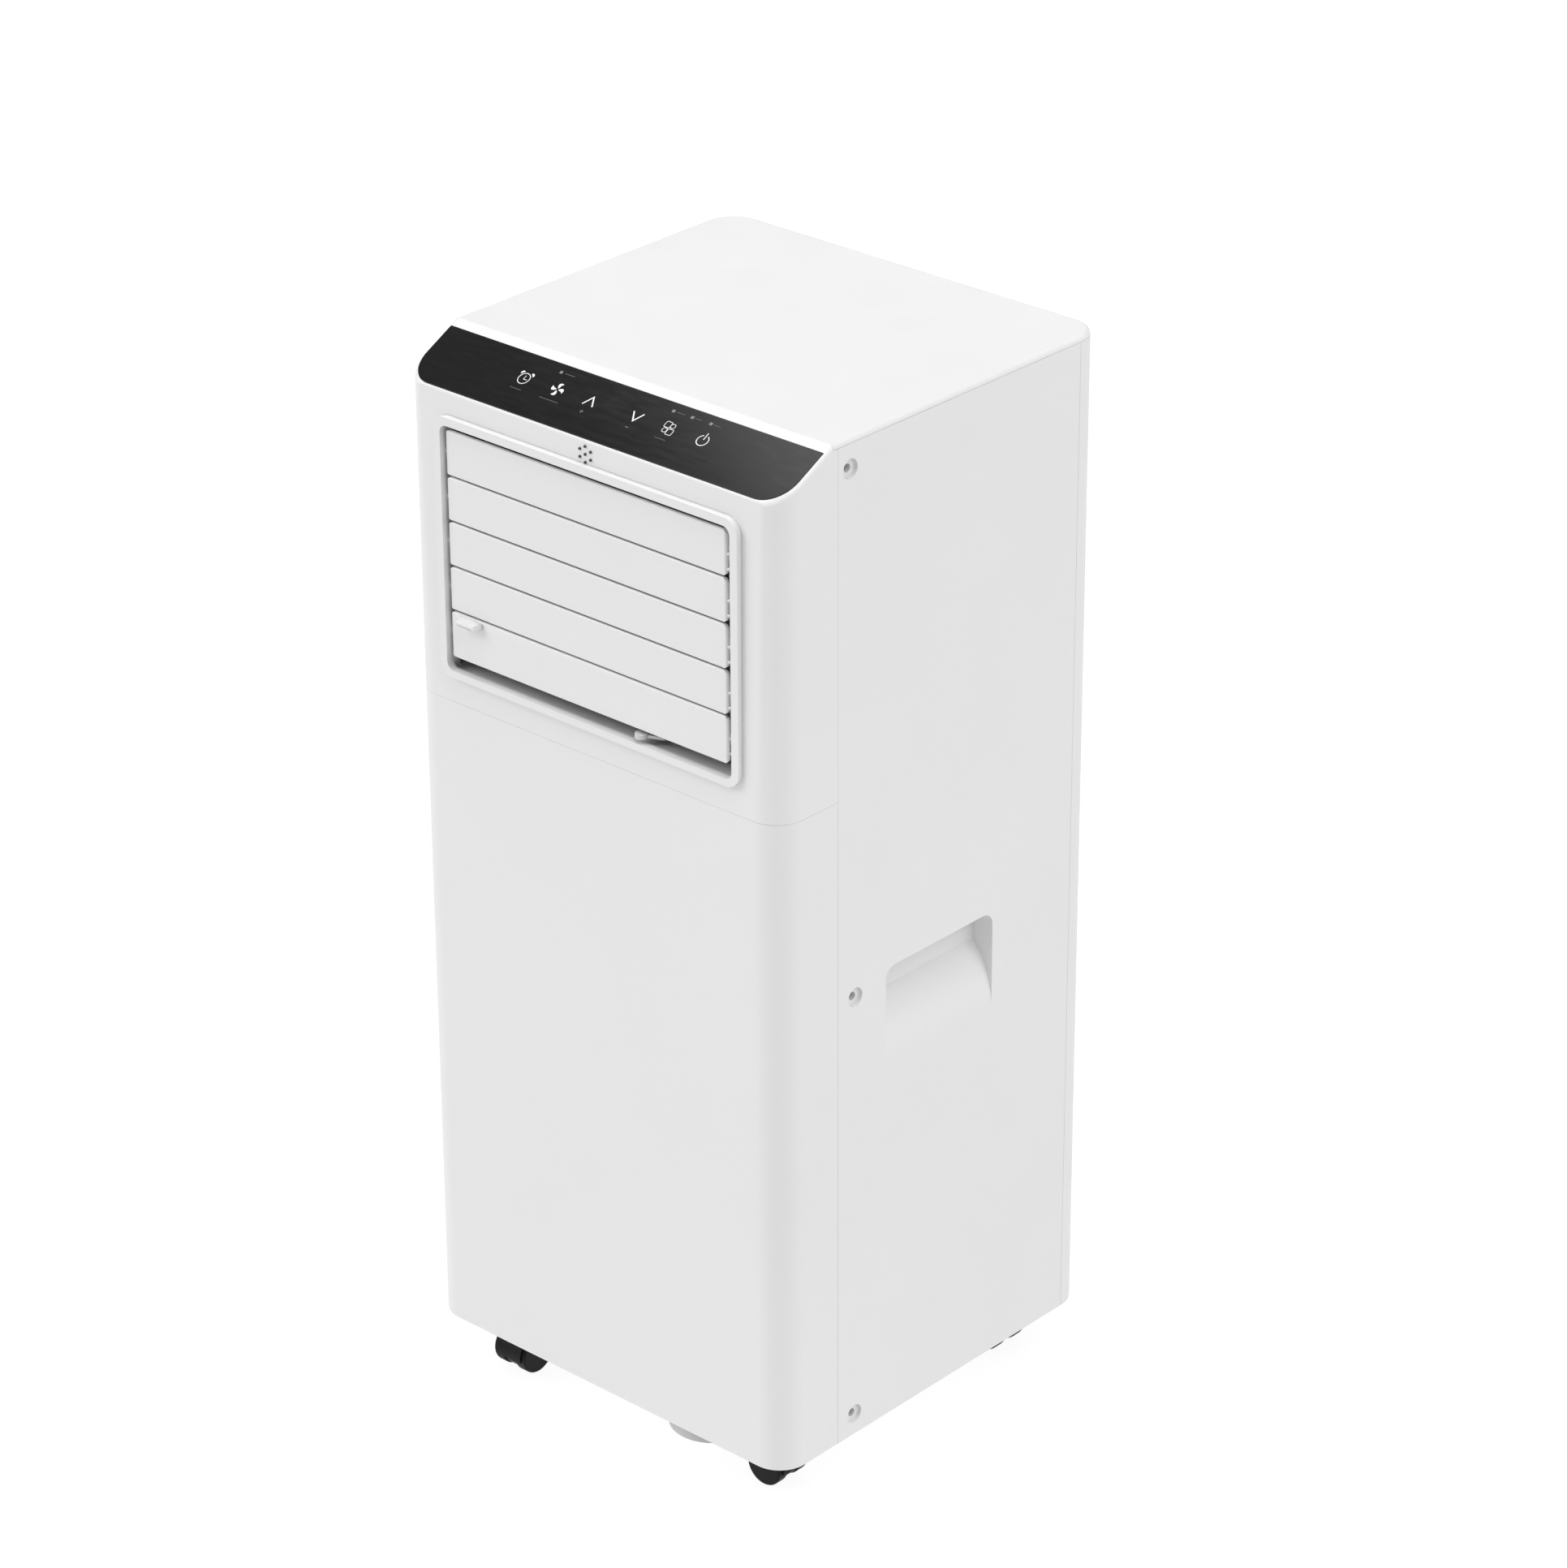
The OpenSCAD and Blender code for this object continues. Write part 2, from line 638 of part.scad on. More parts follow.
// duct from the volute's mouth to the louvre: its floor steps up over the motor
module outlet_duct() {
    y0 = frame_y1 + 0.3;
    y1 = scroll_y0 - 0.3;
    z0 = duct_floor - 4;
    z1 = open_z1 + 4;
    outer = [[y0, z0], [-30, z0], [-14, 588], [y1, 588], [y1, z1], [y0, z1]];
    inner = [[y0 - 1, z0 + 4], [-33, z0 + 4], [-17, 592], [y1 + 1, 592], [y1 + 1, z1 - 4], [y0 - 1, z1 - 4]];
    color("dimgray") difference() {
        translate([-open_x - 4, 0, 0]) rotate([90, 0, 90]) linear_extrude(2 * open_x + 8) polygon(outer);
        translate([-open_x, 0, 0]) rotate([90, 0, 90]) linear_extrude(2 * open_x) polygon(inner);
    }
}

// outline of a volute seen from the front: from its tongue round to the channel that leads up on the right
function volute(r0, r1, a0, tongue_x, top, off) = concat(
    [for (i = [0:24]) let (a = a0 + (360 - a0) * i / 24, r = r0 + (r1 - r0) * (a - a0) / (360 - a0) + off)
        [r * cos(a), r * sin(a)]], [[r1 + off, top], [tongue_x, top]]);

module volute_shell(z, top) {
    difference() {
        front_plate(volute(volute_r0, volute_r1, 54, tongue_x, top, 2), 0, z, scroll_y0, scroll_y1);
        front_plate(volute(volute_r0, volute_r1, 50, tongue_x + 2.7, top + 1, 0), 0, z,
            scroll_y0 + 2, scroll_y1 - 2);
        rod_y(scroll_y1 - 5, scroll_y1 + 5, 0, z, blower_r - 10);
        rod_y(scroll_y0 - 5, scroll_y0 + 5, 0, z, 14);
    }
}

module evaporator_scroll() {
    color("dimgray") {
        difference() {
            volute_shell(upper_fan_z, scroll_top - upper_fan_z);
            // mouth into the outlet duct
            box([mouth_x[0], scroll_y0 - 1, duct_mouth_z[0]], [mouth_x[1], scroll_y0 + 3, duct_mouth_z[1]]);
        }
        box([tongue_x, scroll_y0, scroll_top], [volute_r1 + 2, scroll_y1, scroll_top + 2]);
    }
}

// volute and the box above it that leads the hot air to the exhaust socket
module condenser_scroll() {
    z0 = lower_fan_z + 100;
    x = 92;
    y1 = 119.8;
    t = 3;
    color("dimgray") difference() {
        union() {
            volute_shell(lower_fan_z, z0 + 2 - lower_fan_z);
            box([-x, scroll_y0, z0], [x, y1, drip_z0]);
        }
        box([t - x, scroll_y0 + t, z0 + t], [x - t, y1 - t, drip_z0 - t]);
        box([mouth_x[0], scroll_y0 + t, z0 - 1], [mouth_x[1], scroll_y1 - t, z0 + t + 1]);
        rod_y(110, 130, 0, exhaust_z, exhaust_r + 1);
    }
}

// a blower wheel: back plate, curved blades and a front ring, its hub on the motor shaft
module blower(z) {
    y0 = scroll_y0 + 5;
    y1 = y0 + blower_depth;
    hole = blower_r / 2;
    color("silver") {
        difference() {
            rod_y(y0, y0 + 2, 0, z, blower_r);
            for (a = [0:60:300]) rod_y(y0 - 1, y0 + 3, hole * cos(a), z + hole * sin(a), 8);
        }
        difference() {
            rod_y(y1 - 3, y1, 0, z, blower_r);
            rod_y(y1 - 4, y1 + 1, 0, z, blower_r - 12);
        }
        rod_y(y0, y0 + 16, 0, z, 10);
        rod_y(scroll_y0 - 30, y0 + 10, 0, z, shaft_r);
        for (a = [0:12:348]) translate([0, 0, z]) rotate([0, a, 0]) translate([blower_r - 11, y0 + 1, 0])
            rotate([0, blade_angle, 0]) cube([11, blower_depth - 3, 1.2]);
    }
}

module evaporator_fan() { blower(upper_fan_z); }
module condenser_fan() { blower(lower_fan_z); }

module fan_motor(z) {
    y1 = scroll_y0 - 0.4;
    post_r = motor_r + 2;
    color("gray") difference() {
        union() {
            rod_y(y1 - 44, y1 - 6, 0, z, motor_r);
            rod_y(y1 - 38, y1 - 30, 0, z, motor_r + 4);
            rod_y(y1 - 8, y1, 0, z, 12);
            for (a = [45:90:315]) rod_y(y1 - 34, y1, post_r * cos(a), z + post_r * sin(a), 3);
        }
        rod_y(y1 - 36, y1 + 1, 0, z, shaft_r + fit);
    }
}

module evaporator_motor() { fan_motor(upper_fan_z); }
module condenser_motor() { fan_motor(lower_fan_z); }

// finned coil between two heights: end plates, fins and the tubes that run through them
module coil(z0, z1) {
    y0 = coil_y[0];
    y1 = coil_y[1];
    tube_z = [for (z = [z0 + row_pitch / 2:row_pitch:z1 - row_pitch / 2]) z];
    color("silver") for (x = [-coil_x:fin_pitch:coil_x]) box([x - 0.4, y0, z0], [x + 0.4, y1, z1]);
    color("peru") for (z = tube_z, y = [y0 + 7, y1 - 7]) rod_x(-coil_x - 4, coil_x + 4, y, z, tube_r);
    // return bends
    color("peru") for (z = tube_z) both_sides() box([coil_x + 1, y0 + 4, z - 3], [coil_x + 5, y1 - 4, z + 3]);
    color("silver") both_sides() box([coil_x - 1, y0, z0], [coil_x + 1, y1, z1]);
}

module evaporator_coil() { coil(drip_z0 + 3, 640); }
module condenser_coil() { coil(62, 262); }

module drip_tray() {
    x = 112;
    t = 2.5;
    height = 14;
    floor_z = drip_z0 + 3;
    // its outlet pipe leads down at the right rear
    pipe_x = 102;
    color("gainsboro") difference() {
        union() {
            box([-x, -70, drip_z0], [x, coil_y[1] + 3, drip_z0 + height]);
            rod_z(pipe_x, 110, drip_z0 - 12, drip_z0 + 1, 5);
        }
        box([t - x, coil_y[0] - 2, floor_z], [x - t, coil_y[1] + 0.5, drip_z0 + height + 1]);
        box([t - x, t - 70, floor_z], [x - t, coil_y[0] - 4, drip_z0 + height + 1]);
        rod_z(pipe_x, 110, drip_z0 - 13, drip_z0 + 4, 3.5);
    }
}

/* ---------- refrigeration ---------- */

module compressor() {
    can = [[0, comp_z0], [comp_r - 20, comp_z0], [comp_r - 5, comp_z0 + 6], [comp_r, comp_z0 + 18],
        [comp_r, comp_z1 - 18], [comp_r - 5, comp_z1 - 6], [comp_r - 20, comp_z1], [0, comp_z1]];
    bottle = [[0, acc_z[0]], [acc_r - 10, acc_z[0]], [acc_r - 2, acc_z[0] + 4], [acc_r, acc_z[0] + 12],
        [acc_r, acc_z[1] - 12], [acc_r - 2, acc_z[1] - 4], [acc_r - 10, acc_z[1]], [0, acc_z[1]]];
    color([0.12, 0.12, 0.13]) {
        translate([comp[0], comp[1], 0]) {
            rotate_extrude() polygon(can);
            rod_z(0, 0, comp_z1 - 1, comp_z1 + 8, 5.5);
            rod_z(-16, 8, comp_z1 - 1, comp_z1 + 12, 9);
            rod_z(0, 0, comp_z0 - 4, comp_z0 + 2, 24);
        }
        // three feet, drilled for their rubber grommets
        difference() {
            for (a = feet_angles) translate([comp[0], comp[1], comp_z0 - 4]) rotate([0, 0, a])
                translate([15, -12, 0]) cube([54, 24, 4]);
            for (p = feet_points) rod_z(p[0], p[1], comp_z0 - 5, comp_z0 + 1, 4.2);
        }
        // suction accumulator on its bracket
        translate([acc[0], acc[1], 0]) rotate_extrude() polygon(bottle);
        box([comp[0] + 40, acc[1] - 6, 140], [acc[0] - 15, acc[1] + 6, 143]);
        rod_z(acc[0], acc[1], acc_z[0] - 17, acc_z[0] + 1, 6.5);
        rod_x(comp[0] + 40, acc[0], acc[1], acc_z[0] - 10, 4.5);
    }
}

module compressor_feet() {
    color([0.1, 0.1, 0.1]) for (p = feet_points) difference() {
        union() {
            rod_z(p[0], p[1], pan_z0 + 8, comp_z0 - 4, 9);
            rod_z(p[0], p[1], comp_z0 - 5, comp_z0 + 2, 4);
        }
        rod_z(p[0], p[1], pan_z0, comp_z0 + 4, 1.8);
    }
}

// a bent pipe: round bars between the points with a ball at each bend
module pipe(points, r) {
    for (i = [0:len(points) - 2]) let (a = points[i], d = points[i + 1] - a, n = norm(d))
        translate(a) rotate([0, acos(d[2] / n), atan2(d[1], d[0])]) cylinder(h = n, r = r, $fn = 24);
    for (i = [1:len(points) - 2]) translate(points[i]) sphere(r = r, $fn = 24);
}

module discharge_pipe() {
    color("peru") pipe([[comp[0], comp[1], comp_z1 + 8], [comp[0], comp[1], hot_z], [hot_x, comp[1], hot_z],
        [hot_x, pipe_y, hot_z], [hot_x, pipe_y, 250], [coil_end, pipe_y, 250]], 4);
}

module suction_pipe() {
    color("peru") pipe([[-coil_end, pipe_y, cold_z], [cold_x, pipe_y, cold_z], [cold_x, 62, cold_z],
        [cold_x, 62, cross_z], [cold_x, 20, cross_z], [acc[0], 20, cross_z], [acc[0], acc[1], cross_z],
        [acc[0], acc[1], acc_z[1]]], 4.5);
}

module liquid_pipe() {
    color("peru") {
        pipe([[coil_end, pipe_y, liquid_z[0]], [liquid_x, pipe_y, liquid_z[0]], [liquid_x, 80, liquid_z[0]],
            [liquid_x, 80, liquid_z[1]], [liquid_x, pipe_y, liquid_z[1]], [coil_end, pipe_y, liquid_z[1]]], 3);
        // filter drier
        translate([liquid_x, 80, 130]) rotate_extrude()
            polygon([[0, 0], [4, 0], [7.5, 8], [7.5, 62], [4, 70], [0, 70]]);
    }
}

/* ---------- electrics ---------- */

module electric_box() {
    a = ebox[0];
    b = ebox[1];
    color("gainsboro") difference() {
        box(a, b);
        box([a[0] + wall, a[1] - 1, a[2] + wall], [b[0] - wall, b[1] - wall, b[2] - wall]);
        // grommet hole in its roof
        rod_z(b[0] - 12, -100, b[2] - 4, b[2] + 1, 5);
    }
    color("gainsboro") for (x = [a[0] + 9, b[0] - 9], z = [a[2] + 56, b[2] - 14])
        rod_y(board_y, b[1] - 2, x, z, 2.5);
}

// board on the electric box's four posts: chips, relays and two capacitors
module main_board() {
    x = ebox[0][0];
    front = board_y - 1.5;
    color("darkgreen") box([x + 5, board_y - 1.6, 250], [ebox[1][0] - 5, board_y, 392]);
    color("black") {
        box([x + 14, -110, 300], [x + 42, front, 330]);
        box([x + 48, -114, 340], [x + 70, front, 366]);
        for (i = [0:2]) box([x + 14 + 18 * i, -112, 262], [x + 27 + 18 * i, front, 278]);
    }
    color("silver") for (i = [0, 1]) rod_y(-116, front, x + 54 + 14 * i, 312, 5);
}

module run_capacitor() {
    x = (ebox[0][0] + ebox[1][0]) / 2;
    y = -106;
    z = ebox[0][2] + wall + 0.5;
    color("silver") {
        rod_z(x, y, z, z + 37, 15);
        for (dx = [-6, 6]) rod_z(x + dx, y, z + 37, z + 42, 2.5);
    }
}

module splash_motor() {
    x = splash[0];
    z = splash[1];
    color("gray") difference() {
        union() {
            rod_y(46, 65.8, x, z, 13);
            rod_y(65, 74, x, z, 4);
        }
        rod_y(50, 75, x, z, splash_shaft_r + fit);
    }
}

// paddle wheel that throws the condensate onto the lower coil
module splash_wheel() {
    x = splash[0];
    z = splash[1];
    color("ivory") {
        rod_y(78, 81, x, z, splash_r);
        rod_y(76, 84, x, z, 5);
        rod_y(52, 80, x, z, splash_shaft_r);
        for (a = [0:30:330]) translate([x, 77, z]) rotate([0, a, 0])
            translate([splash_r - 5, 0, -0.7]) cube([9, 5, 1.4]);
    }
}

/* ---------- rear ---------- */

module intake_grille() {
    z0 = intake_z[0] + 0.6;
    z1 = intake_z[1] - 0.6;
    x = window_x - 0.5;
    color(white) {
        difference() {
            union() {
                box([-x, 132, z0], [x, rear_y + 2, z1]);
                box([-x - 3, rear_y + 0.4, z0 - 0.2], [x + 3, rear_y + rim_proud, z1 + 3]);
                both_sides() rod_x(x, knuckle_x + knuckle_w - 0.3, hinge[0], hinge[1], hinge_pin_r);
            }
            box([-x + 6, 131, z0 + 7], [x - 6, 150, z1 - 7]);
        }
        for (z = [z0 + 14:9:z1 - 9]) box([-x + 5, rear_y - 1, z - 1.4], [x - 5, rear_y + 2.4, z + 1.4]);
        for (x = [-60, -20, 20, 60]) box([x - 1.5, 134, z0 + 5], [x + 1.5, rear_y + 2, z1 - 5]);
    }
}

module filter_net() {
    z0 = intake_z[0] + 3;
    z1 = intake_z[1] - 3;
    color([0.2, 0.2, 0.22]) {
        difference() {
            box([-100, 127.5, z0], [100, 132, z1]);
            box([-96, 126, z0 + 4], [96, 133, z1 - 4]);
        }
        box([-97, 129, z0 + 3], [97, 129.8, z1 - 3]);
        for (x = [-48, 0, 48]) box([x - 1, 128, z0 + 3], [x + 1, 131, z1 - 3]);
    }
}

module lower_grille() {
    x = window_x - 0.3;
    z0 = lower_z[0] + 0.3;
    z1 = lower_z[1] - 0.3;
    color(white) {
        difference() {
            union() {
                box([-x, 131, z0], [x, rear_y + 1, z1]);
                box([-x - 3, rear_y, z0 - 3], [x + 3, rear_y + rim_proud, z1 + 3]);
            }
            box([-x + 6, 130, z0 + 6], [x - 6, 150, z1 - 6]);
        }
        for (z = [z0 + 13:9:z1 - 9]) box([-x + 5, rear_y - 1, z - 1.4], [x - 5, rear_y + 2.4, z + 1.4]);
        for (x = [-60, -20, 20, 60]) box([x - 1.5, 134, z0 + 5], [x + 1.5, rear_y + 2, z1 - 5]);
    }
}

module exhaust_socket() {
    color(white) difference() {
        union() {
            rod_y(120.2, socket_y, 0, exhaust_z, exhaust_r + 3.5);
            rod_y(rear_y, rear_y + rim_proud, 0, exhaust_z, exhaust_r + 10);
        }
        rod_y(119, socket_y + 1, 0, exhaust_z, exhaust_r);
    }
}

module drain_plug() {
    color([0.15, 0.15, 0.15]) {
        rod_y(126, rear_y + 0.8, drain[0], drain[1], drain_r);
        rod_y(rear_y + 0.6, rear_y + rim_proud, drain[0], drain[1], 8);
    }
}

module cord_gland() {
    color([0.15, 0.15, 0.15]) difference() {
        union() {
            rod_y(129, rear_y + 0.5, gland[0], gland[1], 7);
            rod_y(rear_y, rear_y + rim_proud, gland[0], gland[1], 10);
        }
        rod_y(128, rear_y + rim_proud + 1, gland[0], gland[1], cord_r);
    }
}

/* ---------- casters ---------- */

// a caster in its own frame: swivel axis on Z, the wheels trail towards +X
module caster_body() {
    difference() {
        union() {
            rod_y(-body_half, body_half, trail, wheel_r, wheel_r - 1);
            intersection() {
                difference() {
                    rod_y(-hood_half, hood_half, trail, wheel_r, hood_r);
                    rod_y(-hood_half - 1, -body_half, trail, wheel_r, wheel_r + 0.4);
                    rod_y(body_half, hood_half + 1, trail, wheel_r, wheel_r + 0.4);
                }
                box([-60, -60, hood_z], [60, 60, pan_z0]);
            }
            rod_z(0, 0, wheel_r, pan_z0 - 0.5, body_half);
            rod_z(0, 0, 2 * wheel_r, pan_z0 - 0.5, 6);
            rod_z(0, 0, pan_z0 - 1, pan_z0 + 15, stem_r);
        }
        // flat underside, clear of the floor
        box([-60, -60, -1], [60, 60, 3.5]);
        rod_y(-body_half - 1, body_half + 1, trail, wheel_r, axle_r + fit);
    }
}

// half section of a wheel: its axis is x = 0 and its outer face is at the bottom
wheel_profile = concat([[0, 0]], arc([wheel_r - wheel_edge, wheel_edge], wheel_edge, -90, 0, 4),
    [[wheel_r, tread - 0.6], [wheel_r - 0.6, tread], [0, tread]]);

// two wheels on one axle
module caster_wheels() {
    outer = body_half + wheel_gap + tread;
    rod_y(-outer + 0.5, outer - 0.5, trail, wheel_r, axle_r);
    for (s = [-1, 1]) translate([trail, s * outer, wheel_r]) rotate([s * 90, 0, 0])
        rotate_extrude() polygon(wheel_profile);
}

module at_caster(sx, sy, turn) {
    translate([sx * caster_x, sy * caster_y, 0]) rotate([0, 0, turn]) children();
}

module caster_front_left() { color([0.1, 0.1, 0.1]) at_caster(-1, -1, -90) caster_body(); }
module caster_front_right() { color([0.1, 0.1, 0.1]) at_caster(1, -1, 0) caster_body(); }
module caster_rear_left() { color([0.1, 0.1, 0.1]) at_caster(-1, 1, -90) caster_body(); }
module caster_rear_right() { color([0.1, 0.1, 0.1]) at_caster(1, 1, 0) caster_body(); }
module wheels_front_left() { color([0.14, 0.14, 0.14]) at_caster(-1, -1, -90) caster_wheels(); }
module wheels_front_right() { color([0.14, 0.14, 0.14]) at_caster(1, -1, 0) caster_wheels(); }
module wheels_rear_left() { color([0.14, 0.14, 0.14]) at_caster(-1, 1, -90) caster_wheels(); }
module wheels_rear_right() { color([0.14, 0.14, 0.14]) at_caster(1, 1, 0) caster_wheels(); }

top_cover();
front_upper_shell();
front_lower_shell();
side_panel_left();
side_panel_right();
rear_panel();
base_pan();
control_panel();
display_board();
casing_screws();
louver_frame();
louver_1();
louver_2();
louver_3();
louver_4();
louver_5();
louver_link();
vane_1();
vane_2();
vane_3();
vane_4();
vane_5();
vane_6();
vane_7();
vane_link();
outlet_duct();
evaporator_scroll();
evaporator_fan();
evaporator_motor();
evaporator_coil();
drip_tray();
condenser_scroll();
condenser_fan();
condenser_motor();
condenser_coil();
compressor();
compressor_feet();
discharge_pipe();
suction_pipe();
liquid_pipe();
electric_box();
main_board();
run_capacitor();
splash_motor();
splash_wheel();
intake_grille();
filter_net();
lower_grille();
exhaust_socket();
drain_plug();
cord_gland();
caster_front_left();
caster_front_right();
caster_rear_left();
caster_rear_right();
wheels_front_left();
wheels_front_right();
wheels_rear_left();
wheels_rear_right();
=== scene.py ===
"""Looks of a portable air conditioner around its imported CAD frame. Lengths are in metres."""
import json
import math

import bmesh
import bpy
from mathutils import Matrix, Vector


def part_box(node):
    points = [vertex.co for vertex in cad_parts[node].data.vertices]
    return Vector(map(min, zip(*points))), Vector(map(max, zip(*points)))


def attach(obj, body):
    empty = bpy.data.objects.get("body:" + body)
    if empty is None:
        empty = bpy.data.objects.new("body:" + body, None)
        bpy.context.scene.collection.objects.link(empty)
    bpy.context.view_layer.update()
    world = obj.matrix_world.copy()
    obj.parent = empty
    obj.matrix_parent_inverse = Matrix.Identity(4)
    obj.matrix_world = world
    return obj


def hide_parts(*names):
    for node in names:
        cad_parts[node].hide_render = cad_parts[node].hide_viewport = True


MM = 0.001
FRONT_Y = -137.5 * MM            # the cabinet's front plane

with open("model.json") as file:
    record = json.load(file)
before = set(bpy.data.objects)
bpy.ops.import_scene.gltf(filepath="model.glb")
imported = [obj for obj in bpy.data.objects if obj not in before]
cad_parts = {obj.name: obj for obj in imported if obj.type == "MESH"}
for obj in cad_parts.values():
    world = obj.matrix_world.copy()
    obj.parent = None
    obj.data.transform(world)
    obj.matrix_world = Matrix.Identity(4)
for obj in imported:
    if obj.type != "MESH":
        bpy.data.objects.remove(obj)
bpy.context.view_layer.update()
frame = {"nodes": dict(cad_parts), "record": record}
scene = bpy.context.scene


# ---------- camera, floor and light ----------

CAMERA_PLACE = Vector((1.92962, -2.11382, 1.79725))
CAMERA_AZIMUTH = math.radians(42.071)
CAMERA_ELEVATION = math.radians(26.273)
CAMERA_ROLL = -0.004488
CAMERA_LENS = 125.5
SENSOR = 36.0

PANEL_SLOPE = math.radians(27.4)
SKY = 0.24
# soft lights: direction towards each, strength and angular size
FRONT_LIGHT = (Vector((-1.0, -1.02, 0.98)), 1.75, math.radians(44))
SIDE_LIGHT = (Vector((1.05, 0.12, 1.27)), 1.79, math.radians(60))
TOP_LIGHT = (Vector((0, -0.05, 1)), 1.17, math.radians(30))
# soft box beside the panel: the point where its edge is mirrored, then how far that edge leans
CARD_EDGE = Vector((95 * MM, -115 * MM, 655 * MM))
CARD_LEAN = 2.0
CARD_DISTANCE = 1.1
CARD_SIZE = (0.34, 0.5)
CARD_RADIANCE = 2.1


def camera_axes(azimuth, elevation, roll):
    """The camera's own X, Y and Z axes: Z points back from what it looks at."""
    back = Vector((
        math.sin(azimuth) * math.cos(elevation),
        -math.cos(azimuth) * math.cos(elevation),
        math.sin(elevation),
    ))
    right = (-back).cross(Vector((0, 0, 1))).normalized()
    up = right.cross(-back)
    x_axis = math.cos(roll) * right + math.sin(roll) * up
    y_axis = -math.sin(roll) * right + math.cos(roll) * up
    return x_axis, y_axis, back


def make_camera():
    data = bpy.data.cameras.new("camera")
    data.sensor_width = SENSOR
    data.lens = CAMERA_LENS
    data.clip_end = 50
    camera = bpy.data.objects.new("camera", data)
    scene.collection.objects.link(camera)
    axes = camera_axes(CAMERA_AZIMUTH, CAMERA_ELEVATION, CAMERA_ROLL)
    turn = Matrix(axes).transposed().to_4x4()
    camera.matrix_world = Matrix.Translation(CAMERA_PLACE) @ turn
    scene.camera = camera


def panel_normal():
    return Vector((0, -math.sin(PANEL_SLOPE), math.cos(PANEL_SLOPE)))


def make_panel_card():
    """A small soft box that the glossy panel mirrors on its right, with its edge running aslant."""
    to_camera = (CAMERA_PLACE - CARD_EDGE).normalized()
    normal = panel_normal()
    away = 2 * normal.dot(to_camera) * normal - to_camera
    across = Vector((1, 0, 0)) - away.x * away
    slope = Vector((0, math.cos(PANEL_SLOPE), math.sin(PANEL_SLOPE)))
    slope = slope - slope.dot(away) * away
    inward = (across.normalized() + CARD_LEAN * slope.normalized()).normalized()
    data = bpy.data.lights.new("panel_card", "AREA")
    data.shape = "RECTANGLE"
    data.size, data.size_y = CARD_SIZE
    data.energy = CARD_RADIANCE * math.pi * CARD_SIZE[0] * CARD_SIZE[1]
    card = bpy.data.objects.new("panel_card", data)
    card.visible_diffuse = False
    scene.collection.objects.link(card)
    side = inward.cross(away).normalized()
    turn = Matrix((inward, side, inward.cross(side))).transposed().to_4x4()
    if turn.col[2].to_3d().dot(away) < 0:
        turn = Matrix((inward, -side, inward.cross(-side))).transposed().to_4x4()
    place = CARD_EDGE + CARD_DISTANCE * away + inward * CARD_SIZE[0] / 2
    card.matrix_world = Matrix.Translation(place) @ turn


def make_sun(name, direction, strength, spread):
    data = bpy.data.lights.new(name, "SUN")
    data.energy = strength
    data.angle = spread
    sun = bpy.data.objects.new(name, data)
    sun.rotation_mode = "QUATERNION"
    sun.rotation_quaternion = direction.to_track_quat("Z", "Y")
    scene.collection.objects.link(sun)


def make_lights():
    world = bpy.data.worlds.new("studio")
    world.use_nodes = True
    background = world.node_tree.nodes["Background"]
    background.inputs["Color"].default_value = (1, 1, 1, 1)
    background.inputs["Strength"].default_value = SKY
    scene.world = world
    make_sun("front_light", *FRONT_LIGHT)
    make_sun("side_light", *SIDE_LIGHT)
    make_sun("top_light", *TOP_LIGHT)
    make_panel_card()


def make_floor():
    mesh = bpy.data.meshes.new("floor")
    half = 30.0
    corners = [(-half, -half, 0), (half, -half, 0), (half, half, 0), (-half, half, 0)]
    mesh.from_pydata(corners, [], [(0, 1, 2, 3)])
    floor = bpy.data.objects.new("floor", mesh)
    scene.collection.objects.link(floor)
    mesh.materials.append(floor_material())


# ---------- materials ----------

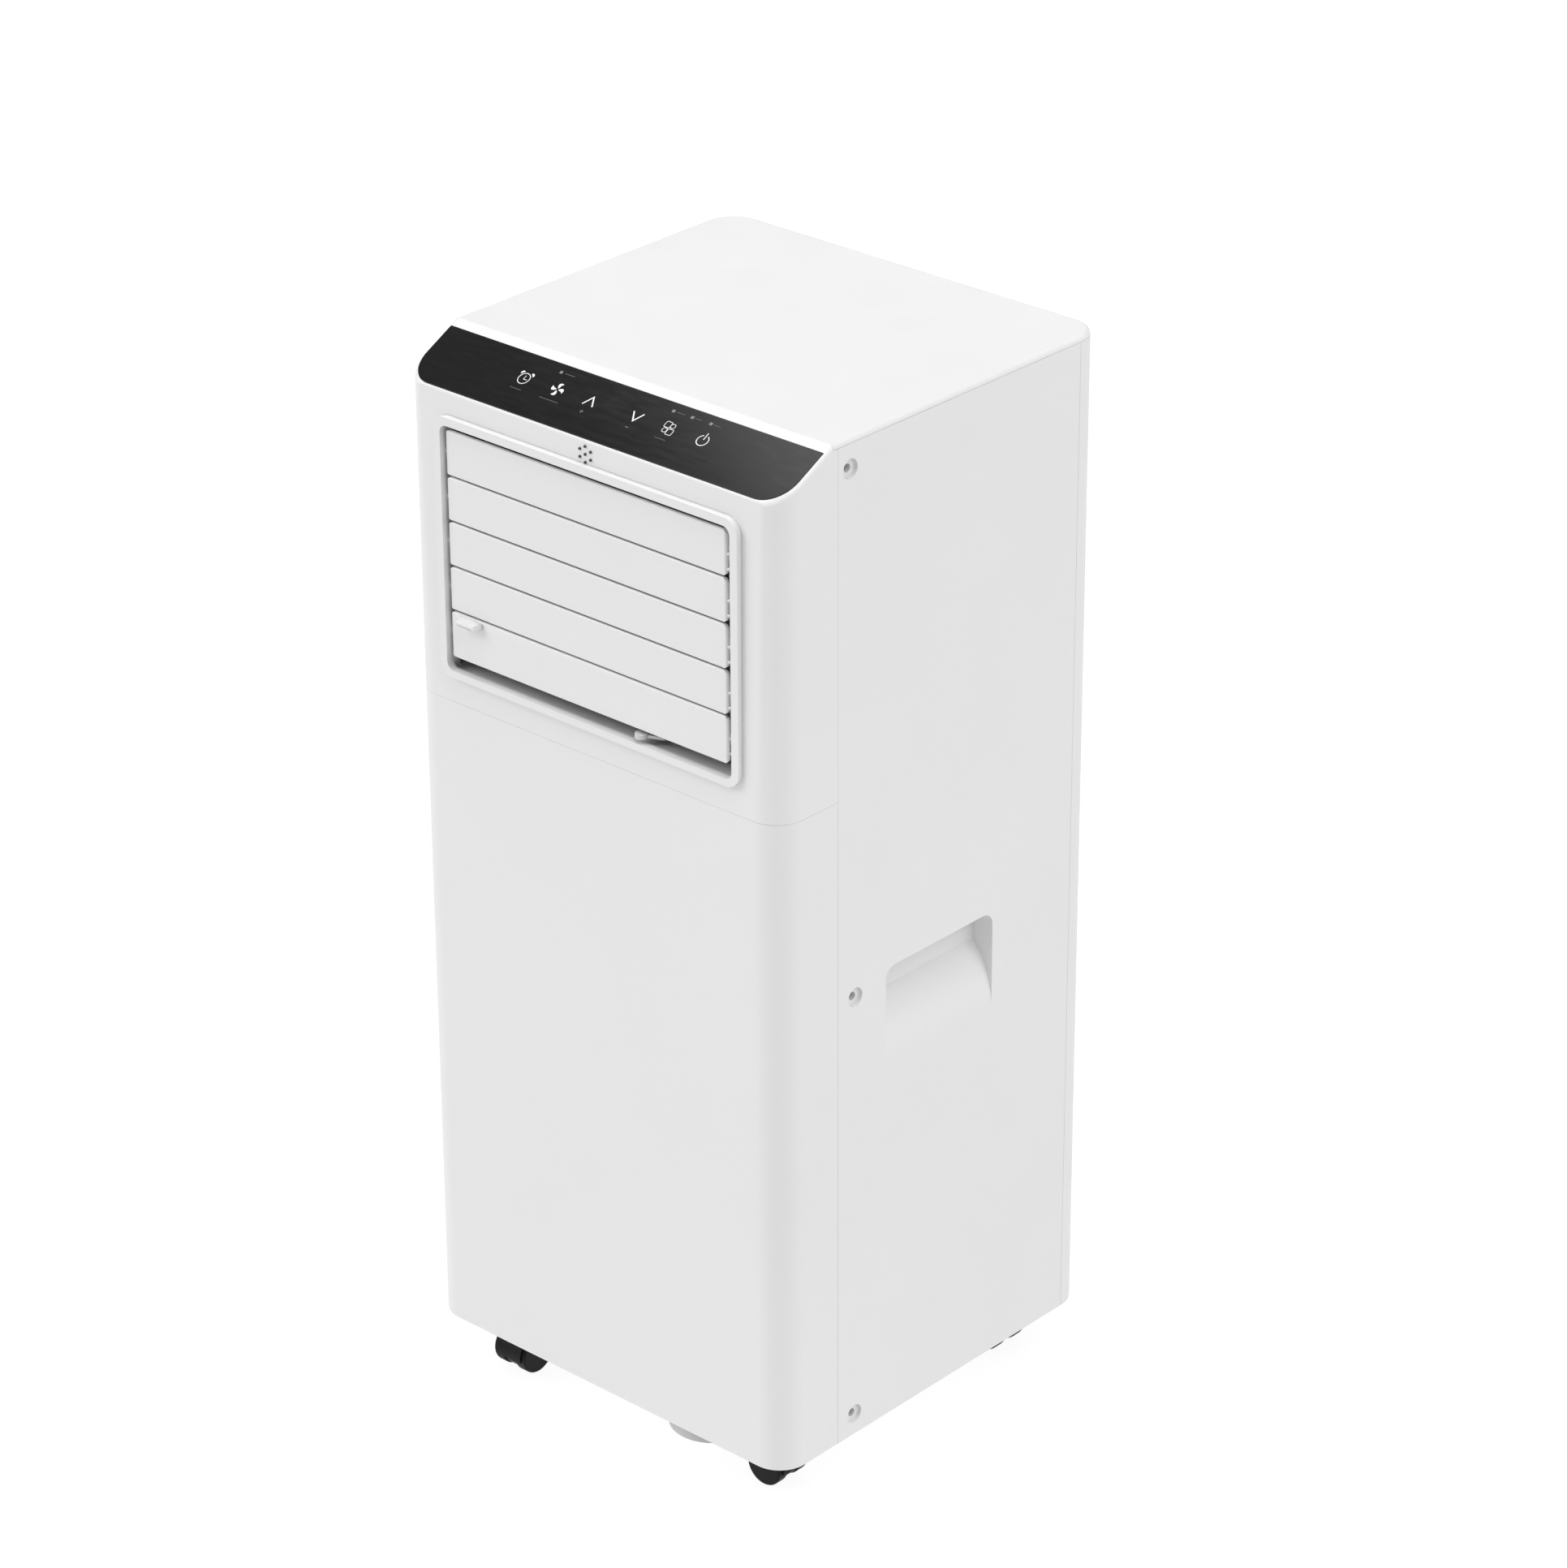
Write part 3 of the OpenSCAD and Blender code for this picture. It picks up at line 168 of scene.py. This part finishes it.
class Nodes:
    """A material's node tree, with short calls to add and join its nodes."""

    def __init__(self, name):
        self.material = bpy.data.materials.new(name)
        self.material.use_nodes = True
        self.tree = self.material.node_tree
        self.shader = self.tree.nodes["Principled BSDF"]
        self.place = self.tree.nodes.new("ShaderNodeTexCoord").outputs["Object"]

    def link(self, output, target):
        self.tree.links.new(output, target)

    def stretched(self, scale):
        """The object's coordinates, scaled differently along each axis."""
        node = self.tree.nodes.new("ShaderNodeMapping")
        node.inputs["Scale"].default_value = scale
        self.link(self.place, node.inputs["Vector"])
        return node.outputs["Vector"]

    def split(self, vector):
        node = self.tree.nodes.new("ShaderNodeSeparateXYZ")
        self.link(vector, node.inputs["Vector"])
        return node.outputs

    def noise(self, scale, detail=3.0, vector=None):
        node = self.tree.nodes.new("ShaderNodeTexNoise")
        node.inputs["Scale"].default_value = scale
        node.inputs["Detail"].default_value = detail
        self.link(vector or self.place, node.inputs["Vector"])
        return node.outputs["Fac"]

    def cells(self, scale, vector=None):
        node = self.tree.nodes.new("ShaderNodeTexVoronoi")
        node.inputs["Scale"].default_value = scale
        self.link(vector or self.place, node.inputs["Vector"])
        return node.outputs["Distance"]

    def ranged(self, value, low, high, start=0.3, end=0.7):
        node = self.tree.nodes.new("ShaderNodeMapRange")
        self.link(value, node.inputs["Value"])
        node.inputs["From Min"].default_value = start
        node.inputs["From Max"].default_value = end
        node.inputs["To Min"].default_value = low
        node.inputs["To Max"].default_value = high
        return node.outputs["Result"]

    def mixed(self, factor, first, second):
        node = self.tree.nodes.new("ShaderNodeMix")
        node.data_type = "RGBA"
        self.link(factor, node.inputs["Factor"])
        for socket, colour in ((node.inputs[6], first), (node.inputs[7], second)):
            if isinstance(colour, tuple):
                socket.default_value = (*colour, 1)
            else:
                self.link(colour, socket)
        return node.outputs[2]

    def bump(self, height, depth, strength, below=None):
        node = self.tree.nodes.new("ShaderNodeBump")
        node.inputs["Distance"].default_value = depth
        node.inputs["Strength"].default_value = strength
        self.link(height, node.inputs["Height"])
        if below is not None:
            self.link(below, node.inputs["Normal"])
        return node.outputs["Normal"]

    def finish(self, colour=None, roughness=None, normal=None, **values):
        if colour is not None:
            self.link(colour, self.shader.inputs["Base Color"])
        if roughness is not None:
            self.link(roughness, self.shader.inputs["Roughness"])
        if normal is not None:
            self.link(normal, self.shader.inputs["Normal"])
        for name, value in values.items():
            self.shader.inputs[name.replace("_", " ")].default_value = value
        return self.material


WHITE = (0.72, 0.72, 0.72)
# where the louvre frame's white ends and the painted shade inside its duct begins, front to back
DUCT_SHADE_Y = (-0.1235, -0.1205)


def toned(colour, factor):
    return tuple(channel * factor for channel in colour)


def moulded_plastic(name, colour, roughness=(0.38, 0.5), grain=0.00002, tone=0.985):
    """Injection-moulded plastic: a fine spark-eroded grain, faint flow tone and an uneven sheen."""
    n = Nodes(name)
    flow = n.ranged(n.noise(7, 2), 0, 1)
    base = n.mixed(flow, toned(colour, tone), colour)
    specks = n.ranged(n.noise(260, 4), 0, 1, 0.66, 0.8)
    base = n.mixed(specks, base, toned(colour, tone))
    sheen = n.ranged(n.noise(40, 4), *roughness)
    height = n.noise(2400, 2)
    wave = n.bump(n.noise(14, 1), 0.00012, 0.3)
    return n.finish(base, sheen, n.bump(height, grain, 0.35, wave))


def louvre_painted_duct_shade():
    """The louvre rim's white plastic, turning near black deeper in the duct behind it: painted shade."""
    n = Nodes("louvre_painted_duct_shade")
    depth = n.split(n.place)[1]
    flow = n.ranged(n.noise(7, 2), 0, 1)
    base = n.mixed(flow, toned(WHITE, 0.985), WHITE)
    # painted shade: the plastic turns near black deeper inside the duct, where it lies in shadow
    base = n.mixed(n.ranged(depth, 0, 1, DUCT_SHADE_Y[0], DUCT_SHADE_Y[1]), base, (0.02, 0.02, 0.021))
    wave = n.bump(n.noise(14, 1), 0.00012, 0.3)
    sheen = n.ranged(n.noise(40, 4), 0.36, 0.48)
    return n.finish(base, sheen, n.bump(n.noise(2400, 2), 0.00002, 0.35, wave))


def gloss_panel(name, dark, light):
    """Black acrylic: polished, with faint wipe marks in its roughness."""
    n = Nodes(name)
    wipes = n.noise(60, 5, n.stretched((1, 6, 6)))
    base = n.mixed(n.ranged(n.noise(12), 0, 1), dark, light)
    wave = n.bump(n.noise(30, 1), 0.00002, 0.3)
    return n.finish(base, n.ranged(wipes, 0.16, 0.24), wave, Specular_IOR_Level=0.43)


def printed_ink(name, colour):
    """Screen-printed ink, slightly uneven in tone and sheen."""
    n = Nodes(name)
    base = n.mixed(n.ranged(n.noise(1500), 0, 1), toned(colour, 0.9), colour)
    return n.finish(base, n.ranged(n.noise(800), 0.4, 0.55), n.bump(n.noise(3000), 0.000004, 0.4))


def metal(name, colour, roughness, streak=(1, 1, 12), scale=300, metallic=1.0, dull=0.8):
    """Drawn or painted metal: streaks along one axis and duller patches."""
    n = Nodes(name)
    lines = n.noise(scale, 4, n.stretched(streak))
    base = n.mixed(n.ranged(lines, 0, 1), toned(colour, dull), colour)
    patches = n.ranged(n.noise(35, 4), 0, 1, 0.5, 0.75)
    base = n.mixed(patches, base, toned(colour, dull))
    rough = n.ranged(lines, roughness, roughness + 0.15)
    return n.finish(base, rough, n.bump(lines, 0.00001, 0.4), Metallic=metallic)


def rubbery(name, colour, roughness=(0.5, 0.68), dust=0.35, level=0.5):
    """Black rubber or hard wheel plastic, with a little pale dust in its texture."""
    n = Nodes(name)
    dusty = n.ranged(n.noise(90, 6), 0, dust, 0.45, 0.8)
    base = n.mixed(dusty, colour, (0.09, 0.088, 0.085))
    grain = n.noise(1800, 3)
    scuffs = n.bump(n.noise(120, 3), 0.00005, 0.3)
    normal = n.bump(grain, 0.00003, 0.4, scuffs)
    return n.finish(base, n.ranged(n.noise(70), *roughness), normal, Specular_IOR_Level=level)


def foam_lining():
    """Grey foam with open pores."""
    n = Nodes("duct_grey")
    pores = n.cells(900)
    base = n.mixed(n.ranged(pores, 0, 1, 0.1, 0.6), (0.045, 0.045, 0.047), (0.085, 0.085, 0.088))
    return n.finish(base, n.ranged(n.noise(50), 0.75, 0.9), n.bump(pores, 0.0002, 0.5))


def circuit_board():
    """Green solder mask over raised tracks."""
    n = Nodes("board_green")
    tracks = n.cells(300, n.stretched((1, 1, 3)))
    base = n.mixed(n.ranged(tracks, 0, 1, 0.2, 0.3), (0.015, 0.14, 0.05), (0.02, 0.2, 0.07))
    return n.finish(base, n.ranged(n.noise(90), 0.25, 0.4), n.bump(tracks, 0.00003, 0.5))


def floor_material():
    """A pale studio floor that glows enough to stay white."""
    n = Nodes("floor_white")
    base = n.mixed(n.ranged(n.noise(3, 5), 0, 1), (0.08, 0.08, 0.08), (0.09, 0.09, 0.09))
    glow = {"Emission_Color": (1, 1, 1, 1), "Emission_Strength": 0.93}
    return n.finish(base, n.ranged(n.noise(20), 0.7, 0.85), n.bump(n.noise(400), 0.0001, 0.2), **glow)


MATERIALS = {
    "shell_white": moulded_plastic("shell_white", WHITE),
    "vent_white": moulded_plastic("vent_white", WHITE, (0.36, 0.48)),
    "vane_grey": moulded_plastic("vane_grey", (0.55, 0.555, 0.56), (0.45, 0.6)),
    "panel_black": gloss_panel("panel_black", (0.0045, 0.0045, 0.0045), (0.006, 0.006, 0.006)),
    "board_green": circuit_board(),
    "screw_steel": metal("screw_steel", (0.03, 0.03, 0.031), 0.38),
    "duct_grey": foam_lining(),
    "pan_grey": moulded_plastic("pan_grey", (0.49, 0.49, 0.49), (0.45, 0.6), 0.00004, 0.95),
    "fan_steel": metal("fan_steel", (0.6, 0.6, 0.61), 0.3),
    "motor_grey": metal("motor_grey", (0.2, 0.2, 0.21), 0.45, metallic=0.4),
    "coil_fin": metal("coil_fin", (0.78, 0.79, 0.8), 0.28, (1, 8, 1), 500),
    "tank_black": metal("tank_black", (0.02, 0.02, 0.022), 0.4, metallic=0.0),
    "rubber_black": rubbery("rubber_black", (0.02, 0.02, 0.02)),
    "copper": metal("copper", (0.72, 0.36, 0.22), 0.3, (1, 1, 3), 120, dull=0.62),
    "can_silver": metal("can_silver", (0.75, 0.75, 0.76), 0.25),
    "wheel_ivory": moulded_plastic("wheel_ivory", (0.75, 0.72, 0.62)),
    "net_dark": rubbery("net_dark", (0.03, 0.03, 0.033), dust=0.15),
    "caster_black": rubbery("caster_black", (0.005, 0.005, 0.005), (0.35, 0.5), 0.05, 0.15),
    "tread_black": rubbery("tread_black", (0.006, 0.006, 0.006), (0.45, 0.6), 0.08, 0.15),
}
OWN_MATERIALS = {"louver_frame": louvre_painted_duct_shade()}
INK = printed_ink("ink_white", (0.8, 0.8, 0.8))
INK_DIM = printed_ink("ink_dim", (0.2, 0.2, 0.2))
INK_BAR = printed_ink("ink_bar", (0.07, 0.07, 0.07))
GLASS_DIM = gloss_panel("display_glass", (0.008, 0.0075, 0.007), (0.01, 0.0095, 0.009))


# ---------- carried-over CAD nodes ----------

# rounding of each node's edges, in mm
EDGE_MM = {
    "louver_frame": 0.5, "top_cover": 0.12, "front_upper_shell": 0.12, "front_lower_shell": 0.12,
    "side_panel_left": 0.12, "side_panel_right": 0.12, "rear_panel": 0.12, "control_panel": 0.12,
    "exhaust_socket": 0.8, "intake_grille": 0.35, "lower_grille": 0.35, "base_pan": 0.5,
    "casing_screws": 0.0, "louver_5": 0.0, "drain_plug": 0.6, "cord_gland": 0.6,
}
# nodes too finely cut for rounding
PLAIN_NODES = ("evaporator_fan", "condenser_fan", "main_board", "display_board", "splash_wheel")
EDGE_DEFAULT_MM = 0.2
SHARP_ANGLE = math.radians(32)
FLAT_ANGLE = math.radians(0.4)


def soften(piece, width):
    """Rounds a CAD node's sharp edges and shades it smoothly, without touching its own mesh."""
    for name in ("custom_normal", "sharp_edge"):
        if name in piece.data.attributes:
            piece.data.attributes.remove(piece.data.attributes[name])
    piece.data.polygons.foreach_set("use_smooth", [True] * len(piece.data.polygons))
    weld = piece.modifiers.new("weld", "WELD")
    weld.merge_threshold = 0.002 * MM
    if width > 0:
        flat = piece.modifiers.new("flat", "DECIMATE")
        flat.decimate_type = "DISSOLVE"
        flat.angle_limit = FLAT_ANGLE
        bevel = piece.modifiers.new("bevel", "BEVEL")
        bevel.limit_method = "ANGLE"
        bevel.angle_limit = SHARP_ANGLE
        bevel.width = width * MM
        bevel.segments = 2
        bevel.use_clamp_overlap = True
        bevel.miter_outer = "MITER_ARC"
    normals = piece.modifiers.new("normals", "WEIGHTED_NORMAL")
    normals.keep_sharp = False
    normals.weight = 60


def dress_cad():
    slots = {entry["node"]: entry["material_slot"] for entry in frame["record"]["subparts"]}
    for name, piece in frame["nodes"].items():
        material = OWN_MATERIALS.get(name, MATERIALS[slots[name]])
        piece.data.materials.clear()
        piece.data.materials.append(material)
        width = 0.0 if name in PLAIN_NODES else EDGE_MM.get(name, EDGE_DEFAULT_MM)
        soften(piece, width)


# ---------- printed control panel ----------

# printed patches on the panel: height of their underside and their top above the glass
PRINT_LOW = 0.006 * MM
PRINT_HIGH = 0.036 * MM


def panel_point(x, s, lift):
    """A point on the slanted panel: x across it and s up its slope from the front plane, in mm."""
    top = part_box("control_panel")[1]
    from_top = (top.y - FRONT_Y) / math.cos(PANEL_SLOPE) - s * MM
    y = top.y - from_top * math.cos(PANEL_SLOPE) - lift * math.sin(PANEL_SLOPE)
    z = top.z - from_top * math.sin(PANEL_SLOPE) + lift * math.cos(PANEL_SLOPE)
    return Vector((x * MM, y, z))


def new_piece(name, bm, material, body="root"):
    bmesh.ops.recalc_face_normals(bm, faces=bm.faces)
    mesh = bpy.data.meshes.new(name)
    bm.to_mesh(mesh)
    bm.free()
    mesh.materials.append(material)
    piece = bpy.data.objects.new(name, mesh)
    scene.collection.objects.link(piece)
    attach(piece, body)
    return piece


def add_print(bm, outline, hole=()):
    """A thin printed patch on the panel, or a ring where there is a hole of as many points."""
    if not hole:
        bottom = [bm.verts.new(panel_point(x, s, PRINT_LOW)) for x, s in outline]
        top = [bm.verts.new(panel_point(x, s, PRINT_HIGH)) for x, s in outline]
        bm.faces.new(top)
        bm.faces.new(bottom[::-1])
        for i in range(len(outline)):
            j = (i + 1) % len(outline)
            bm.faces.new((bottom[i], bottom[j], top[j], top[i]))
        return
    sides = ((outline, PRINT_LOW), (outline, PRINT_HIGH), (hole, PRINT_HIGH), (hole, PRINT_LOW))
    rings = [[bm.verts.new(panel_point(x, s, lift)) for x, s in line] for line, lift in sides]
    for i in range(len(outline)):
        j = (i + 1) % len(outline)
        for k in range(4):
            a, b = rings[k], rings[(k + 1) % 4]
            bm.faces.new((a[i], a[j], b[j], b[i]))


def stroke(points, width, closed):
    """The two sides of a line of even width through the points."""
    count = len(points)
    left, right = [], []
    for i, (x, s) in enumerate(points):
        before = points[(i - 1) % count] if closed or i > 0 else points[i]
        after = points[(i + 1) % count] if closed or i < count - 1 else points[i]
        d1 = Vector((x - before[0], s - before[1]))
        d2 = Vector((after[0] - x, after[1] - s))
        d1 = d1.normalized() if d1.length > 0 else d2.normalized()
        d2 = d2.normalized() if d2.length > 0 else d1
        mid = (d1 + d2).normalized()
        side = Vector((-mid.y, mid.x)) * width / 2 / max(0.4, mid.dot(d2))
        left.append((x + side.x, s + side.y))
        right.append((x - side.x, s - side.y))
    return left, right


def add_line(bm, points, width, closed=False):
    left, right = stroke(points, width, closed)
    if closed:
        add_print(bm, left, right)
    else:
        add_print(bm, left + right[::-1])


def circle_points(x, s, radius, start=0.0, end=360.0, count=40):
    full = abs(end - start) >= 360
    steps = count if full else count - 1
    return [(x + radius * math.cos(math.radians(start + (end - start) * i / steps)),
             s + radius * math.sin(math.radians(start + (end - start) * i / steps)))
            for i in range(count)]


def rounded_box(x, s, width, height, radius, count=6):
    points = []
    for cx, cs, start in ((1, 1, 0), (-1, 1, 90), (-1, -1, 180), (1, -1, 270)):
        points += circle_points(x + cx * (width / 2 - radius), s + cs * (height / 2 - radius), radius,
                                start, start + 90, count)
    return points


def smooth_outline(points, steps=6):
    """A closed Catmull-Rom curve through the points."""
    count = len(points)
    result = []
    for i in range(count):
        p = [Vector(points[(i + k) % count]) for k in (-1, 0, 1, 2)]
        for step in range(steps):
            t = step / steps
            result.append(tuple(0.5 * (2 * p[1] + (p[2] - p[0]) * t
                                       + (2 * p[0] - 5 * p[1] + 4 * p[2] - p[3]) * t * t
                                       + (3 * p[1] - p[0] - 3 * p[2] + p[3]) * t ** 3)))
    return result


# rows of small marks: distance up the panel's slope, in mm
LABEL_ROW = 17.9
LAMP_ROW = 37.8


def icon_clock(bm):
    x, s = -67.9, 25.9
    add_line(bm, circle_points(x, s, 3.85, count=48), 0.5, True)
    add_line(bm, [(x, s + 2.3), (x, s - 0.5), (x + 2.4, s - 0.5)], 0.42)
    for side in (-1, 1):
        turn = 90 - side * 45
        arc = circle_points(x + side * 3.55, s + 3.55, 1.45, turn - 90, turn + 90, 14)
        add_print(bm, arc)


def icon_fan(bm):
    x, s = -42.4, 26.3
    blade = smooth_outline([(0.05, 0.75), (-1.0, 2.0), (-1.35, 3.5), (-0.2, 4.5), (1.75, 4.3), (0.75, 3.2),
                            (0.55, 1.9)])
    for quarter in range(4):
        c, d = (1, 0, -1, 0)[quarter], (0, 1, 0, -1)[quarter]
        add_print(bm, [(x + u * c - v * d, s + u * d + v * c) for u, v in blade])


def icon_chevrons(bm):
    add_line(bm, [(-20.6, 22.8), (-16.8, 29.3), (-13.1, 22.8)], 0.85)
    add_line(bm, [(13.5, 29.5), (17.4, 23.1), (21.2, 29.5)], 0.85)


def icon_mode(bm):
    for x, s, width, radius in ((39.8, 28.4, 4.1, 0.7), (44.1, 23.9, 4.1, 0.7),
                                (43.5, 28.2, 3.0, 1.2), (40.2, 24.3, 3.0, 1.2)):
        add_line(bm, rounded_box(x, s, width, width, radius), 0.36, True)


def icon_power(bm):
    x, s = 67.1, 25.9
    add_line(bm, circle_points(x, s, 3.7, 115, 425, 44), 0.55)
    add_line(bm, [(x + 0.1, s + 0.6), (x + 0.1, s + 5.6)], 0.55)


def dim_marks(bm):
    """Lamp windows, plus and minus."""
    for x in (-49.0, 36.1, 50.0, 63.7):
        add_print(bm, rounded_box(x, LAMP_ROW, 2.1, 1.9, 0.2, 3))
    add_line(bm, [(-18.2, 18.0), (-15.8, 18.0)], 0.36)
    add_line(bm, [(-17.0, 18.25), (-17.0, 19.2)], 0.36)
    add_line(bm, [(-17.0, 16.8), (-17.0, 17.75)], 0.36)
    add_line(bm, [(16.1, 18.0), (18.3, 18.0)], 0.36)


def label_bars(bm):
    for start, end, s in ((-71.9, -63.5, LABEL_ROW), (-49.3, -35.0, LABEL_ROW), (37.9, 46.0, LABEL_ROW),
                          (-46.0, -38.6, LAMP_ROW), (38.6, 44.6, LAMP_ROW), (52.2, 56.9, LAMP_ROW),
                          (65.8, 70.8, LAMP_ROW)):
        add_line(bm, [(start, s), (end, s)], 0.5)


def display_window(bm):
    add_print(bm, rounded_box(0.1, 29.1, 13.9, 11.7, 0.4, 3))


def make_panel_print():
    prints = (("icon_clock", icon_clock, INK), ("icon_fan", icon_fan, INK),
              ("icon_chevrons", icon_chevrons, INK), ("icon_mode", icon_mode, INK),
              ("icon_power", icon_power, INK), ("panel_marks", dim_marks, INK_DIM),
              ("panel_bars", label_bars, INK_BAR), ("display_window", display_window, GLASS_DIM))
    for name, draw, ink in prints:
        bm = bmesh.new()
        draw(bm)
        new_piece(name, bm, ink)


# ---------- painted shade in the sound holes -----

SOUND_Z = 636.1 * MM             # height of the middle hole
SOUND_RING = 4.7 * MM            # radius of the ring of the other six
SHADE_PLUG_RADIUS = 0.77 * MM
SHADE_PLUG_DEPTH = (0.2 * MM, 2.4 * MM)

def add_pad(bm, x, z, radius, y0, y1, count=16):
    """A short round pad that lies along Y."""
    rings = [[bm.verts.new((x + radius * math.cos(2 * math.pi * i / count), y,
                            z + radius * math.sin(2 * math.pi * i / count))) for i in range(count)]
             for y in (y0, y1)]
    bm.faces.new(rings[0])
    bm.faces.new(rings[1][::-1])
    for i in range(count):
        j = (i + 1) % count
        bm.faces.new((rings[0][i], rings[1][i], rings[1][j], rings[0][j]))


def make_sound_hole_shade():
    """Dark plugs that fill the seven sound holes to just below the front's surface: painted shade for the
    holes' insides.
    """
    places = [(0.0, SOUND_Z)]
    for turn in range(30, 360, 60):
        angle = math.radians(turn)
        places.append((SOUND_RING * math.cos(angle), SOUND_Z + SOUND_RING * math.sin(angle)))
    bm = bmesh.new()
    for x, z in places:
        # painted shade: a dark plug in each hole stands in for its shadowed inside
        add_pad(bm, x, z, SHADE_PLUG_RADIUS, FRONT_Y + SHADE_PLUG_DEPTH[0], FRONT_Y + SHADE_PLUG_DEPTH[1])
    new_piece("sound_hole_shade", bm, MATERIALS["net_dark"], "root")


# ---------- filter net ----------

def add_box(bm, low, high):
    x0, y0, z0 = low
    x1, y1, z1 = high
    verts = [bm.verts.new(p) for p in ((x0, y0, z0), (x1, y0, z0), (x1, y1, z0), (x0, y1, z0),
                                       (x0, y0, z1), (x1, y0, z1), (x1, y1, z1), (x0, y1, z1))]
    for face in ((0, 3, 2, 1), (4, 5, 6, 7), (0, 1, 5, 4), (1, 2, 6, 5), (2, 3, 7, 6), (3, 0, 4, 7)):
        bm.faces.new([verts[i] for i in face])


def make_filter():
    """A moulded frame with ribs, and a net of fine crossing strands."""
    low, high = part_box("filter_net")
    rim, strand, pitch = 4 * MM, 0.35 * MM, 2.0 * MM
    middle = (low.y + high.y) / 2
    bm = bmesh.new()
    for x0, x1 in ((low.x, low.x + rim), (high.x - rim, high.x)):
        add_box(bm, (x0, low.y, low.z), (x1, high.y, high.z))
    for z0, z1 in ((low.z, low.z + rim), (high.z - rim, high.z)):
        add_box(bm, (low.x + rim, low.y, z0), (high.x - rim, high.y, z1))
    for x in (-48 * MM, 0.0, 48 * MM):
        add_box(bm, (x - MM, low.y + MM, low.z + rim), (x + MM, high.y - MM, high.z - rim))
    frame_piece = new_piece("filter_frame", bm, MATERIALS["net_dark"], "intake_grille")
    bevel = frame_piece.modifiers.new("bevel", "BEVEL")
    bevel.width = 0.3 * MM
    bevel.segments = 2
    bm = bmesh.new()
    count = int((high.x - low.x - 2 * rim) / pitch)
    for i in range(1, count):
        x = low.x + rim + i * (high.x - low.x - 2 * rim) / count
        add_box(bm, (x - strand / 2, middle, low.z + rim), (x + strand / 2, middle + strand, high.z - rim))
    count = int((high.z - low.z - 2 * rim) / pitch)
    for i in range(1, count):
        z = low.z + rim + i * (high.z - low.z - 2 * rim) / count
        add_box(bm, (low.x + rim, middle - strand, z - strand / 2), (high.x - rim, middle, z + strand / 2))
    net = new_piece("filter_mesh", bm, MATERIALS["net_dark"], "intake_grille")
    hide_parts("filter_net")
    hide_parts("filter_net")


scene.view_settings.view_transform = "Standard"
make_camera()
make_lights()
make_floor()
dress_cad()
make_panel_print()
make_sound_hole_shade()
make_filter()
